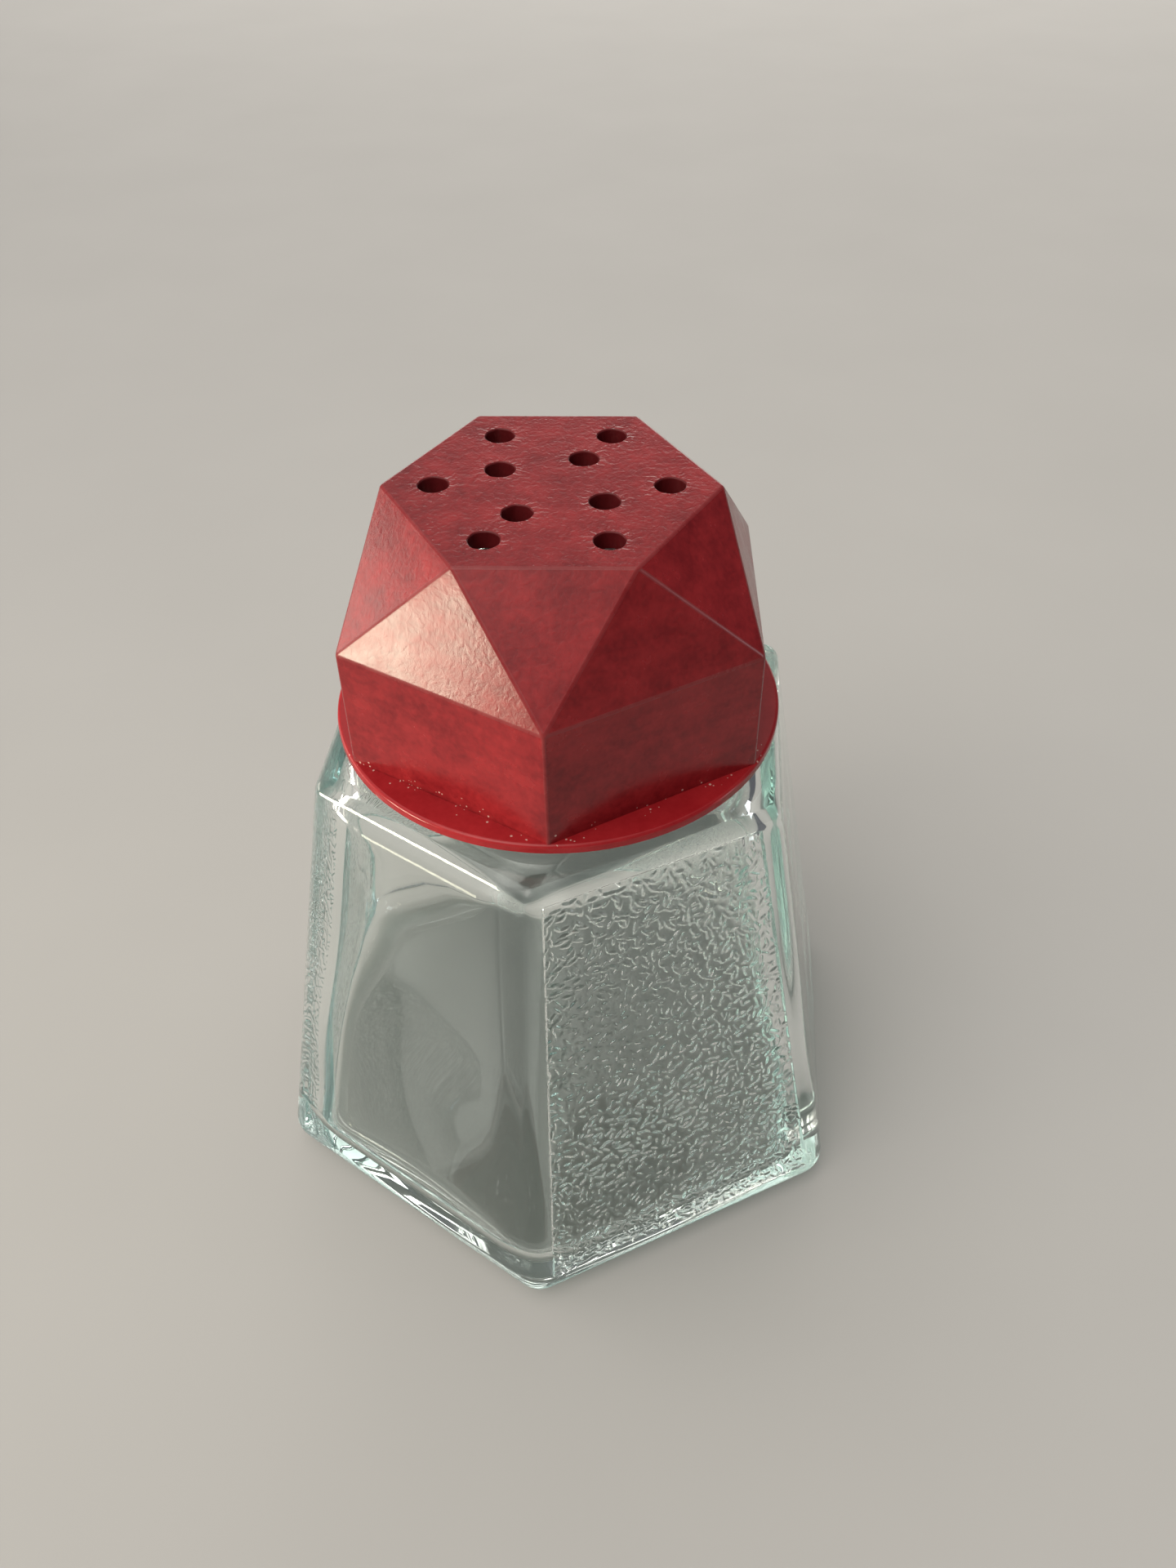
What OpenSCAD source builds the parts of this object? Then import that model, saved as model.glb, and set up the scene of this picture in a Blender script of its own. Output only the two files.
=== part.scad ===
// Powder shaker: a tapered six-sided glass jar, closed by a faceted screw lid with sprinkling holes.
// The jar stands on z = 0 with one of its edges towards -Y, and the neck's axis is the Z axis.

/* [Jar body] */
// Width across two opposite flats, where the flats would meet the table
foot_flats = 88; // [82:0.5:96]
// Width across two opposite flats, where the flats would meet the shoulder's plane
shoulder_flats = 61; // [58:0.5:68]
// Height of the flat shoulder that the neck rises from
shoulder_z = 75; // [60:0.5:90]
// Rounding of the edge round the foot
foot_round = 4.5; // [3:0.25:6]
// Rounding of the edge round the shoulder
shoulder_round = 2.5; // [1.5:0.25:3.5]
// Glass between a flat and the cavity
wall = 2.8; // [2.2:0.1:4]
// Glass under the cavity
base_t = 3; // [2.5:0.25:6]
// Glass between the shoulder and the cavity
shoulder_t = 2.6; // [2.2:0.1:4]
// Rounding of the cavity's edge round its floor
cavity_round = 5; // [3.5:0.5:8]
// Rounding of the cavity's edge under the shoulder
cavity_top_round = 5; // [3.5:0.25:7]
// Rounding of the cavity's six upright edges
cavity_edge_round = 12; // [9:0.5:16]
// Depth of the hollow pushed up under the base
pushup_depth = 1; // [0.5:0.1:1.6]
// Radius of the hollow under the base
pushup_r = 33; // [24:0.5:35]

/* [Neck] */
// Radius of the neck below its thread
neck_r = 22.4; // [21:0.1:24]
// Glass between the neck and the mouth
neck_wall = 3.2; // [2.4:0.1:4]
// Height of the neck above the shoulder
neck_h = 16; // [13:0.5:18]
// Rounding of the lip's outer edge
lip_round = 1; // [0.5:0.1:1.2]
// Bevel of the lip's inner edge
lip_bevel = 0.6; // [0.3:0.1:0.8]
// Rounding where the neck meets the shoulder
neck_fillet = 1.5; // [0.5:0.1:1.8]
// Rounding where the mouth opens into the cavity
mouth_flare = 3; // [1.5:0.25:3.5]
// Height of the guide bead above the shoulder
bead_rise = 4.6; // [4:0.1:6]
// How far the guide bead stands out from the neck
bead_out = 1.2; // [0.6:0.1:1.4]

/* [Seal] */
// Thickness of the sealing ring
seal_t = 1; // [0.6:0.1:2]
// How much wider the ring's hole is than the mouth, on the radius
seal_inset = 0.6; // [0.3:0.1:1.2]
// Gap between the ring's edge and the lid's bore
seal_clearance = 0.3; // [0.2:0.1:0.6]

/* [Lid] */
// Gap between the lid's flange and the jar's shoulder
lid_gap = 2.2; // [1:0.1:3]
// Gap between the guide bead and the lid's bore
bore_clearance = 0.4; // [0.3:0.1:0.8]
// Radius of the round flange
flange_r = 30.1; // [29:0.1:33]
// Thickness of the flange
flange_t = 1.4; // [1:0.1:2.5]
// Rounding of the flange's upper edge
flange_round = 0.5; // [0.2:0.1:0.8]
// Thinnest wall of the lid, between the bore and the middle of a flat
lid_wall = 1.8; // [1.4:0.1:3]
// Height of the six-sided skirt above the flange
skirt_h = 16.9; // [15:0.1:20]
// How much the skirt's corners draw in from flange to crown
skirt_draft = 0.1; // [0:0.05:0.4]
// Height of the crown of triangular facets
crown_h = 14.5; // [12:0.1:18]
// Radius of the top face, to its corners
top_r = 20.7; // [19.5:0.1:22]
// Thickness of the top face
roof_t = 2.2; // [1.6:0.1:3]
// Rounding inside, between the top face and the crown
dome_round = 4; // [2:0.25:5]
// Bevel that leads the neck into the bore
bore_bevel = 0.6; // [0.3:0.1:0.8]
// How far the closed lid stands turned on the jar, in degrees
lid_yaw = 3.7; // [-30:0.1:30]

/* [Sprinkling holes] */
// Diameter of a hole
hole_d = 3.7; // [2:0.1:4.2]
// Number of holes in the outer ring
outer_holes = 6; // [3:1:8]
// Radius of the outer ring, to the holes' centres
outer_ring_r = 14.3; // [12.5:0.1:15]
// Number of holes in the inner ring
inner_holes = 4; // [2:1:5]
// Radius of the inner ring, to the holes' centres
inner_ring_r = 7.5; // [6:0.1:8.5]
// Direction of the inner ring's first hole, in degrees
inner_ring_turn = 60; // [0:1:90]

/* [Hidden] */

// Fineness of true rounds, and of the rounded corners inside a hull
$fn = 96;
corner_fn = 32;
// Overlap of solids that are joined or cut
eps = 0.05;
// Depth that a hull's rounded ends reach past the flat that trims them
trim = 0.2;

sides = 6;
half_side = 180 / sides;
// A corner's direction, so that one edge of the jar and of the lid faces -Y
edge_turn = -90;

// Lean of the jar's flats
jar_lean = atan((foot_flats - shoulder_flats) / 2 / shoulder_z);

mouth_r = neck_r - neck_wall;
lip_z = shoulder_z + neck_h;
cavity_top_z = shoulder_z - shoulder_t;
bead_z = shoulder_z + bead_rise;
// Height of the middle of the cavity's upper rounding, and its distance from the axis on a flat
top_round_z = cavity_top_z - cavity_top_round;
top_round_flat = jar_flat(top_round_z) - (wall + cavity_top_round) / cos(jar_lean);
// Radius of the flare's rim, and the height at which the rim meets the rounded cavity
flare_r = mouth_r + mouth_flare;
flare_z = top_round_z + sqrt(pow(cavity_top_round, 2) - pow(max(0, flare_r - top_round_flat), 2));
// Radius of the sphere that shapes the push-up
pushup_sphere_r = (pushup_r * pushup_r + pushup_depth * pushup_depth) / (2 * pushup_depth);

seat_z = lip_z + seal_t;
seal_in_r = mouth_r + seal_inset;

bore_r = neck_r + bead_out + bore_clearance;
flange_z = shoulder_z + lid_gap;
skirt_z = flange_z + flange_t;
ring_z = skirt_z + skirt_h;
top_z = ring_z + crown_h;
roof_z = top_z - roof_t;
// Distance from the axis to the middle of a side, for a corner radius
function flat_of(corner_r) = corner_r * cos(half_side);
ring_r = (bore_r + lid_wall) / cos(half_side);
skirt_r = ring_r + skirt_draft;

glass_colour = [0.86, 0.93, 0.92, 0.45];
lid_colour = "firebrick";
seal_colour = "antiquewhite";

// Distance from the axis to the jar's flat at a height
function jar_flat(z) = foot_flats / 2 - z * tan(jar_lean);

// Six balls that touch planes lying a depth inside the jar's flats, at one height
module corner_balls(z, ball_r, depth) {
    flat = jar_flat(z) - (depth + ball_r) / cos(jar_lean);
    for (k = [0 : sides - 1])
        rotate(edge_turn + k * 2 * half_side)
            translate([flat / cos(half_side), 0, z])
                sphere(r = ball_r, $fn = corner_fn);
}

// Six rings that touch the same planes. They round the upright edges more than the level ones
module corner_rings(z, ring_r, edge_r, depth) {
    spread = edge_r - ring_r;
    flat = jar_flat(z) - (depth + ring_r) / cos(jar_lean) - spread;
    for (k = [0 : sides - 1])
        rotate(edge_turn + k * 2 * half_side)
            translate([flat / cos(half_side), 0, z])
                rotate_extrude($fn = corner_fn)
                    translate([spread, 0]) circle(r = ring_r, $fn = corner_fn);
}

// The jar's rounded body, trimmed flat at the table and at the shoulder
module jar_body() {
    intersection() {
        hull() {
            corner_balls(foot_round - trim, foot_round, 0);
            corner_balls(shoulder_z - shoulder_round + trim, shoulder_round, 0);
        }
        cylinder(h = shoulder_z, r = foot_flats);
    }
}

// The neck as a solid of revolution, with a round lip, a guide bead and a fillet at its root
module jar_neck() {
    rotate_extrude() {
        translate([0, shoulder_z - trim]) square([neck_r, neck_h + trim - lip_round]);
        translate([0, shoulder_z]) square([neck_r - lip_round, neck_h]);
        translate([neck_r - lip_round, lip_z - lip_round]) circle(r = lip_round);
        translate([neck_r, bead_z]) circle(r = bead_out);
        difference() {
            translate([0, shoulder_z - trim]) square([neck_r + neck_fillet, neck_fillet + trim]);
            translate([neck_r + neck_fillet, shoulder_z + neck_fillet]) circle(r = neck_fillet);
        }
    }
}

// The space inside the jar, rounder than its outside
module jar_cavity() {
    hull() {
        corner_rings(base_t + cavity_round, cavity_round, cavity_edge_round, wall);
        corner_rings(top_round_z, cavity_top_round, cavity_edge_round, wall);
    }
}

// The mouth, flared where it opens into the cavity and bevelled at the lip
module jar_mouth() {
    translate([0, 0, flare_z - trim]) cylinder(h = lip_z - flare_z + 2 * trim, r = mouth_r);
    rotate_extrude() difference() {
        translate([0, flare_z - trim]) square([flare_r, mouth_flare + trim]);
        translate([flare_r, flare_z + mouth_flare]) circle(r = mouth_flare);
    }
    translate([0, 0, lip_z - lip_bevel]) cylinder(h = 2 * lip_bevel, r1 = mouth_r, r2 = mouth_r + 2 * lip_bevel);
}

module glass_jar() {
    color(glass_colour) difference() {
        union() {
            jar_body();
            jar_neck();
        }
        jar_cavity();
        jar_mouth();
        translate([0, 0, pushup_depth - pushup_sphere_r]) sphere(r = pushup_sphere_r);
    }
}

module lip_seal() {
    color(seal_colour) translate([0, 0, lip_z]) difference() {
        cylinder(h = seal_t, r = bore_r - seal_clearance);
        translate([0, 0, -eps]) cylinder(h = seal_t + 2 * eps, r = seal_in_r);
    }
}

// Cuts away all that lies outside a leaning facet, which is low_r from the axis at low_z
// and high_r from it at high_z. There is one such facet in each of the six directions.
module facet_cuts(turn, low_r, low_z, high_r, high_z) {
    reach = 2 * skirt_r;
    for (k = [0 : sides - 1])
        rotate(turn + k * 2 * half_side)
            translate([low_r, 0, low_z])
                rotate([0, -atan((low_r - high_r) / (high_z - low_z)), 0])
                    translate([0, -reach, -reach]) cube(2 * reach);
}

// Skirt and crown: a round blank with three rings of facets cut on it.
// Six lean in as the skirt's sides, six rise from its edges to the top face's corners,
// and six fall from the top face's edges to the skirt's corners.
module lid_facets() {
    difference() {
        translate([0, 0, flange_z]) cylinder(h = top_z - flange_z, r = skirt_r + lid_wall);
        facet_cuts(edge_turn + half_side, flat_of(skirt_r), skirt_z, flat_of(ring_r), ring_z);
        facet_cuts(edge_turn + half_side, flat_of(ring_r), ring_z, top_r, top_z);
        facet_cuts(edge_turn, ring_r, ring_z, flat_of(top_r), top_z);
    }
}

module lid_flange() {
    translate([0, 0, flange_z]) rotate_extrude() {
        square([flange_r, flange_t - flange_round]);
        square([flange_r - flange_round, flange_t]);
        translate([flange_r - flange_round, flange_t - flange_round]) circle(r = flange_round);
    }
}

// The lid's inside: a bore over the neck, a seat for the ring, and a dome under the top face
module lid_inside() {
    translate([0, 0, flange_z - eps]) cylinder(h = seat_z - flange_z + eps, r = bore_r);
    translate([0, 0, flange_z - bore_bevel])
        cylinder(h = 2 * bore_bevel, r1 = bore_r + 2 * bore_bevel, r2 = bore_r);
    rotate_extrude() {
        translate([0, seat_z - eps]) square([seal_in_r, roof_z - dome_round - seat_z + eps]);
        translate([0, seat_z]) square([seal_in_r - dome_round, roof_z - seat_z]);
        translate([seal_in_r - dome_round, roof_z - dome_round]) circle(r = dome_round);
    }
}

module hole_ring(count, ring_radius, turn) {
    for (k = [0 : count - 1])
        rotate(turn + k * 360 / count)
            translate([ring_radius, 0, roof_z - dome_round])
                cylinder(h = roof_t + dome_round + eps, d = hole_d);
}

module shaker_lid() {
    color(lid_colour) rotate(lid_yaw) difference() {
        union() {
            lid_facets();
            lid_flange();
        }
        lid_inside();
        hole_ring(outer_holes, outer_ring_r, 0);
        hole_ring(inner_holes, inner_ring_r, inner_ring_turn);
    }
}

glass_jar();
lip_seal();
shaker_lid();
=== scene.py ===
# %% [markdown]
# # A powder shaker in pressed glass and red thermoset
# The real thing is a six-sided glass jar, with a faceted screw lid that has ten holes to shake powder through.
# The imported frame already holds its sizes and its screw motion, so this lesson only gives it its looks: a glass
# mesh with real grain on it, a moulded lid with soft edges, and a soft ring between the two.

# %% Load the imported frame
import math

import bmesh
import bpy
import numpy as np
from mathutils import Matrix, Vector


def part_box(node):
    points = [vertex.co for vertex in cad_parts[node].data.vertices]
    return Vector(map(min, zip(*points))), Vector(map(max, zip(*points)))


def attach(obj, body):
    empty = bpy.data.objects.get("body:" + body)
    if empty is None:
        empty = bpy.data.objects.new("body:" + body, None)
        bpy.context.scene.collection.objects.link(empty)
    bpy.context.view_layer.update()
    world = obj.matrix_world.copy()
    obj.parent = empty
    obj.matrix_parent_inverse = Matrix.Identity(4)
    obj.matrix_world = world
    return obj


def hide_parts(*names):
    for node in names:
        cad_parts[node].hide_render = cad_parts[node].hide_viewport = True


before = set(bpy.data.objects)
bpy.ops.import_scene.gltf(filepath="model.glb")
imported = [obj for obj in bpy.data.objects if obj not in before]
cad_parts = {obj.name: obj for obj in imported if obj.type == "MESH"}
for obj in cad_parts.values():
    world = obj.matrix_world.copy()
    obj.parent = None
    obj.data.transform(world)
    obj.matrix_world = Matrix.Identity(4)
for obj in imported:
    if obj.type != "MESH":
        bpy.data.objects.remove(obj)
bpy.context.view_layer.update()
MM = 0.001
jar_low, jar_high = (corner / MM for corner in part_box("glass_jar"))
seal_low, seal_high = (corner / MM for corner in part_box("lip_seal"))
lid_low, lid_high = (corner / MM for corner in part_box("shaker_lid"))
print("the jar is", [round(x, 1) for x in jar_high - jar_low], "mm")
print("the lid is", [round(x, 1) for x in lid_high - lid_low], "mm")

# %% [markdown]
# ## The camera
# The view is settled first, because every later choice is judged through it. The corners of the two hexagons
# give away the lens and the place of the camera: it looked down on the shaker from close by, a little to the
# right of the jar's front edge, and was held almost level.

# %% Camera
CAMERA_AZIMUTH = math.radians(5.57)
CAMERA_ELEVATION = math.radians(42.85)
CAMERA_ROLL = math.radians(-0.79)
CAMERA_DISTANCE = 185.4 * MM
AIM_RIGHT = 3.9 * MM
AIM_HEIGHT = 60.8 * MM
LENS_PIXELS = 1545.4
FRAME_PIXELS = (1440, 1920)
SENSOR_MM = 36


def place_camera():
    """Makes the camera that looks back along its own Z axis at a point beside the jar's axis."""
    back = Vector((
        math.sin(CAMERA_AZIMUTH) * math.cos(CAMERA_ELEVATION),
        -math.cos(CAMERA_AZIMUTH) * math.cos(CAMERA_ELEVATION),
        math.sin(CAMERA_ELEVATION),
    ))
    right = Vector((math.cos(CAMERA_AZIMUTH), math.sin(CAMERA_AZIMUTH), 0))
    level = Matrix((right, back.cross(right), back)).transposed().to_4x4()
    data = bpy.data.cameras.new("camera")
    data.sensor_width = SENSOR_MM
    data.lens = LENS_PIXELS / max(FRAME_PIXELS) * SENSOR_MM
    data.clip_start = 1 * MM
    made = bpy.data.objects.new("camera", data)
    aim = right * AIM_RIGHT + Vector((0, 0, AIM_HEIGHT))
    stand = Matrix.Translation(aim + back * CAMERA_DISTANCE)
    made.matrix_world = stand @ level @ Matrix.Rotation(CAMERA_ROLL, 4, "Z")
    bpy.context.scene.collection.objects.link(made)
    bpy.context.scene.camera = made
    return made


camera = place_camera()
print("the camera stands at", [round(x / MM) for x in camera.location], "mm")
print("its lens is", round(camera.data.lens, 1), "mm")

# %% [markdown]
# ## Colours and nodes
# Colours are written as sRGB hex values, as a colour picker shows them, but shaders count in linear light, so
# one function converts them. A second one adds a node with its settings and links in a single call. A Mix node
# has sockets for numbers and for colours under the same names, so the colour ones go by number.

# %% Colour and node helpers
MIX_A, MIX_B, MIX_RESULT = 6, 7, 2


def linear(hex_colour):
    """An sRGB hex colour as linear RGBA."""
    channels = [int(hex_colour[i : i + 2], 16) / 255 for i in (1, 3, 5)]
    return (*[c / 12.92 if c <= 0.04045 else ((c + 0.055) / 1.055) ** 2.4 for c in channels], 1.0)


def add_node(tree, kind, inputs=None, **settings):
    """One new shader node. inputs maps a socket's name or number to a value, or to what is linked to it.

    That is an output, or a node where its first output is meant.
    """
    node = tree.nodes.new("ShaderNode" + kind)
    for name, value in settings.items():
        setattr(node, name, value)
    for socket, value in (inputs or {}).items():
        if isinstance(value, bpy.types.Node):
            tree.links.new(value.outputs[0], node.inputs[socket])
        elif isinstance(value, bpy.types.NodeSocket):
            tree.links.new(value, node.inputs[socket])
        else:
            node.inputs[socket].default_value = value
    return node


def new_material(name):
    """An empty material and its node tree."""
    material = bpy.data.materials.new(name)
    material.use_nodes = True
    material.node_tree.nodes.clear()
    return material, material.node_tree


def per_metre(size_mm):
    """Texture scale at which one feature is size_mm wide."""
    return 1 / (size_mm * MM)


print("mid grey is", round(linear("#808080")[0], 3), "in linear light")

# %% [markdown]
# ## The floor
# The shaker stands on a plain pale floor. One quad is enough for it. Its matt laminate has a faint cloud in its
# colour, so that it reads as a surface and not as an empty page.

# %% Pale floor
FLOOR_HALF = 2.5
FLOOR_GAP = 0.1 * MM
FLOOR_CLOUD_MM = 60


def matt_laminate():
    """Matt laminate: pale and even, with almost no shine."""
    material, tree = new_material("matt_laminate_floor")
    place = add_node(tree, "TexCoord").outputs["Object"]
    cloud = add_node(tree, "TexNoise", {"Vector": place, "Scale": per_metre(FLOOR_CLOUD_MM), "Detail": 3.0})
    tone = add_node(tree, "Mix", {
        "Factor": cloud, MIX_A: linear("#B4B3B1"), MIX_B: linear("#BAB9B7"),
    }, data_type="RGBA")
    skin = add_node(tree, "BsdfPrincipled", {
        "Base Color": tone.outputs[MIX_RESULT], "Roughness": 0.75, "Specular IOR Level": 0.25,
    })
    add_node(tree, "OutputMaterial", {"Surface": skin})
    return material


def link_mesh(name, points, faces, material):
    """A mesh object with one material."""
    mesh = bpy.data.meshes.new(name)
    mesh.from_pydata(np.asarray(points).tolist(), [], faces)
    mesh.materials.append(material)
    made = bpy.data.objects.new(name, mesh)
    bpy.context.scene.collection.objects.link(made)
    return made


signs = ((-1, -1), (1, -1), (1, 1), (-1, 1))
floor_corners = [(x * FLOOR_HALF, y * FLOOR_HALF, -FLOOR_GAP) for x, y in signs]
floor = link_mesh("floor", floor_corners, [(0, 1, 2, 3)], matt_laminate())
print("the floor is", 2 * FLOOR_HALF, "m wide")

# %% [markdown]
# ## The room
# Most of the light comes from the world, which is a quiet grey room with three broad glows. A glow is the
# cosine of the angle to its middle, raised to a power, so it has no edge that could show in gloss. The grey
# that is seen behind things, in gloss and through glass is paler than the grey that lights them, because a dark
# room would turn the thick parts of clear glass black.

# %% Quiet room


def towards(azimuth, elevation):
    """A unit vector away from the shaker. Azimuth 0 is towards the viewer and 90 to the right, in degrees."""
    a, e = math.radians(azimuth), math.radians(elevation)
    return Vector((math.sin(a) * math.cos(e), -math.cos(a) * math.cos(e), math.sin(e)))


def quiet_room(base, seen, glows):
    """A grey room: base is the grey that lights things, and seen the one that shows.

    Each of its glows has an azimuth, elevation, sharpness, strength and colour.
    """
    world = bpy.data.worlds.new("studio")
    world.use_nodes = True
    tree = world.node_tree
    tree.nodes.clear()
    place = add_node(tree, "TexCoord").outputs["Generated"]
    path = add_node(tree, "LightPath").outputs
    direct = add_node(tree, "Math", {0: path["Is Camera Ray"], 1: path["Is Glossy Ray"]}, operation="ADD")
    shown = add_node(tree, "Math", {0: direct, 1: path["Is Transmission Ray"]}, operation="ADD", use_clamp=True)
    grey = add_node(tree, "Mix", {"Factor": shown, MIX_A: linear(base), MIX_B: linear(seen)}, data_type="RGBA")
    light = grey.outputs[MIX_RESULT]
    for azimuth, elevation, sharpness, strength, colour in glows:
        facing = add_node(tree, "VectorMath", {
            0: place, 1: towards(azimuth, elevation),
        }, operation="DOT_PRODUCT")
        ahead = add_node(tree, "Math", {0: facing.outputs["Value"], 1: 0.0}, operation="MAXIMUM")
        lobe = add_node(tree, "Math", {0: ahead, 1: sharpness}, operation="POWER")
        tint = [strength * channel for channel in linear(colour)[:3]]
        light = add_node(tree, "VectorMath", {0: lobe, 1: tint, 2: light}, operation="MULTIPLY_ADD")
    sky = add_node(tree, "Background", {"Color": light})
    add_node(tree, "OutputWorld", {"Surface": sky})
    bpy.context.scene.world = world


ROOM_GLOWS = (
    (-150, 66, 8.0, 1.9, "#FFFAF2"),
    (-34, 56, 12.0, 4.1, "#FFFAF2"),
    (-80, 18, 4.0, 0.6, "#FFF4E6"),
)
quiet_room("#3A3C40", "#5E6064", ROOM_GLOWS)
print("the room has", len(ROOM_GLOWS), "glows")

# %% [markdown]
# ## The soft boxes
# Four weak lamps draw the highlights. A card low on the left is mirrored by one facet of the lid and all along
# the rounded shoulder of the glass. Two strips brighten the facets that face them, and a long low light behind
# the shaker shines through the thick glass edges. All of them stand near the floor, so each has a grid in
# front, which is a spread below 180 degrees: without it they would burn white patches into the pale floor.

# %% Soft boxes
GLASS_BOUNCES = 48


def soft_box(name, azimuth, elevation, distance, size, watts, colour, spread):
    """An area lamp that faces the middle of the shaker, with a grid that lets light out over spread degrees."""
    aim = Vector((0, 0, (lid_high.z + jar_low.z) / 2 * MM))
    away = towards(azimuth, elevation)
    data = bpy.data.lights.new(name, "AREA")
    data.shape = "RECTANGLE"
    data.size, data.size_y = size
    data.energy = watts
    data.color = linear(colour)[:3]
    data.spread = math.radians(spread)
    lamp = bpy.data.objects.new(name, data)
    lamp.location = aim + away * distance
    lamp.rotation_euler = away.to_track_quat("Z", "Y").to_euler()
    bpy.context.scene.collection.objects.link(lamp)


soft_box("front_left_card_light", -64.5, 0, 0.5, (0.185, 0.1), 0.2, "#FFF8DC", spread=55)
soft_box("left_strip_light", -102, 7, 0.6, (0.36, 0.14), 0.17, "#FFF4E6", spread=90)
soft_box("right_strip_light", 86, 9, 0.6, (0.1, 0.2), 0.07, "#F4FAFF", spread=90)
soft_box("back_light", 178, 6, 1.4, (1.6, 0.18), 1.9, "#FFFAF2", spread=110)
bpy.context.scene.view_settings.view_transform = "Standard"
light_paths = bpy.context.scene.cycles
# Light in thick glass is mirrored to and fro many times before it comes out.
light_paths.max_bounces = light_paths.glossy_bounces = light_paths.transmission_bounces = GLASS_BOUNCES
print("placed", len(bpy.data.lights), "soft boxes")

# %% [markdown]
# ## Clear pressed glass
# The jar is ordinary soda-lime glass. Its fire-polished skin is perfectly smooth, so all its character comes
# from shape: thick edges, a rounder inside, and the grain pressed into three of its panels. A faint green only
# shows where light runs a long way through the glass, so it is absorption inside the body and not a tint on the
# skin. Soft light seldom finds its way through two bent skins, which would leave the inside dark and noisy. So
# light on its way to a matt surface meets a plain grey pane and passes straight through it with a small loss,
# while all that the eye sees is still bent by the glass.

# %% Glass material
GLASS_IOR = 1.52
GLASS_GREEN, GLASS_GREEN_DENSITY = "#BFE3DE", 13.0
PANE_GREY = "#D2D6D5"


def soda_lime_glass():
    """Soda-lime container glass: clear and smooth, and faintly green through its thick edges."""
    material, tree = new_material("soda_lime_glass")
    skin = add_node(tree, "BsdfPrincipled", {
        "Base Color": linear("#FDFFFE"), "Roughness": 0.0, "IOR": GLASS_IOR, "Transmission Weight": 1.0,
    })
    pane = add_node(tree, "BsdfTransparent", {"Color": linear(PANE_GREY)})
    path = add_node(tree, "LightPath").outputs
    soft = add_node(tree, "Math", {0: path["Is Shadow Ray"], 1: path["Is Diffuse Ray"]}, operation="MAXIMUM")
    both = add_node(tree, "MixShader", {0: soft, 1: skin, 2: pane})
    body = add_node(tree, "VolumeAbsorption", {"Color": linear(GLASS_GREEN), "Density": GLASS_GREEN_DENSITY})
    add_node(tree, "OutputMaterial", {"Surface": both, "Volume": body})
    return material


clear_glass = soda_lime_glass()
print("made", clear_glass.name)

# %% [markdown]
# ## The jar's sizes
# The jar is one skin of glass that runs from under the foot, up the outside, over the lip and down the inside.
# These are its sizes in millimetres, the same ones that its solid is built from.

# %% Jar sizes
FOOT_FLATS = 88
SHOULDER_FLATS = 61
SHOULDER_Z = 75
FOOT_ROUND = 4.5
SHOULDER_ROUND = 2.5
WALL = 2.8
BASE_T = 3
SHOULDER_T = 2.6
CAVITY_ROUND = 5
CAVITY_TOP_ROUND = 5
CAVITY_EDGE_ROUND = 12
PUSHUP_DEPTH = 1
PUSHUP_R = 33
TRIM = 0.2  # foot and shoulder are cut flat this far into their round edges
NECK_R = 22.4
MOUTH_R = 19.2
NECK_FILLET = 1.5
MOUTH_FLARE = 3
LIP_ROUND = 1
LIP_BEVEL = 0.6
BEAD_RISE = 4.6
BEAD_OUT = 1.2
LIP_Z = jar_high.z
CAVITY_TOP_Z = SHOULDER_Z - SHOULDER_T
LEAN = math.atan((FOOT_FLATS - SHOULDER_FLATS) / 2 / SHOULDER_Z)


def flat_at(z):
    """Distance from the axis to the jar's flat, at a height."""
    return FOOT_FLATS / 2 - z * math.tan(LEAN)


def edge_round_at(z):
    """Radius of the jar's upright edges, which shrinks from foot to shoulder."""
    share = z / SHOULDER_Z
    return (FOOT_ROUND + (SHOULDER_ROUND - FOOT_ROUND) * share) * math.cos(LEAN)


print("the panels lean in by", round(math.degrees(LEAN), 1), "degrees")

# %% [markdown]
# ## Rings of points
# A skin like this can be laid as a stack of rings. Each ring is a hexagon with round corners, or a circle at
# the neck, and has the same columns of points, so that neighbours join with simple quads. A lathe could not
# make the hexagon, and booleans would leave ragged edges that show in glass. Three of the six panels carry fine
# grain, so rings in their height have many more columns there.

# %% Ring outlines
SIDES = 6
TURN = math.tau / SIDES
EDGE_ANGLE = -math.pi / 2
GRAINED_SIDES = (0, 2, 4)
CORNER_STEPS = 8
SIDE_STEPS = 16
FINE_STEPS = 22
SPREAD_ROUND = 0.15  # a circle's columns are spread as on a small hexagon with these corners


def unit(angle):
    """Points on the unit circle."""
    return np.stack((np.cos(angle), np.sin(angle)), -1)


def at_height(outline, z):
    """An outline as points at a height."""
    return np.column_stack((outline, np.full(len(outline), z)))


def ring_columns(fine):
    """For each column: which corner or side it is on, whether it is on a side, and how far along it lies."""
    columns = []
    for k in range(SIDES):
        steps = SIDE_STEPS * (FINE_STEPS if fine and k in GRAINED_SIDES else 1)
        columns += [(k, 0, j / CORNER_STEPS) for j in range(CORNER_STEPS)]
        columns += [(k, 1, j / steps) for j in range(steps)]
    return tuple(np.array(values) for values in zip(*columns))


def hexagon(columns, flat, corner_r):
    """A hexagon with round corners, flat from the axis to the middle of a side."""
    k, on_side, along = columns
    corner = EDGE_ANGLE + k * TURN
    side = corner + TURN / 2
    arc = unit(corner) * (flat - corner_r) / math.cos(TURN / 2)
    arc = arc + corner_r * unit(corner + (along - 0.5) * TURN)
    reach = (flat - corner_r) * math.tan(TURN / 2)
    line = flat * unit(side) + ((2 * along - 1) * reach)[:, None] * unit(side + math.pi / 2)
    return np.where(on_side[:, None] == 1, line, arc)


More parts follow.
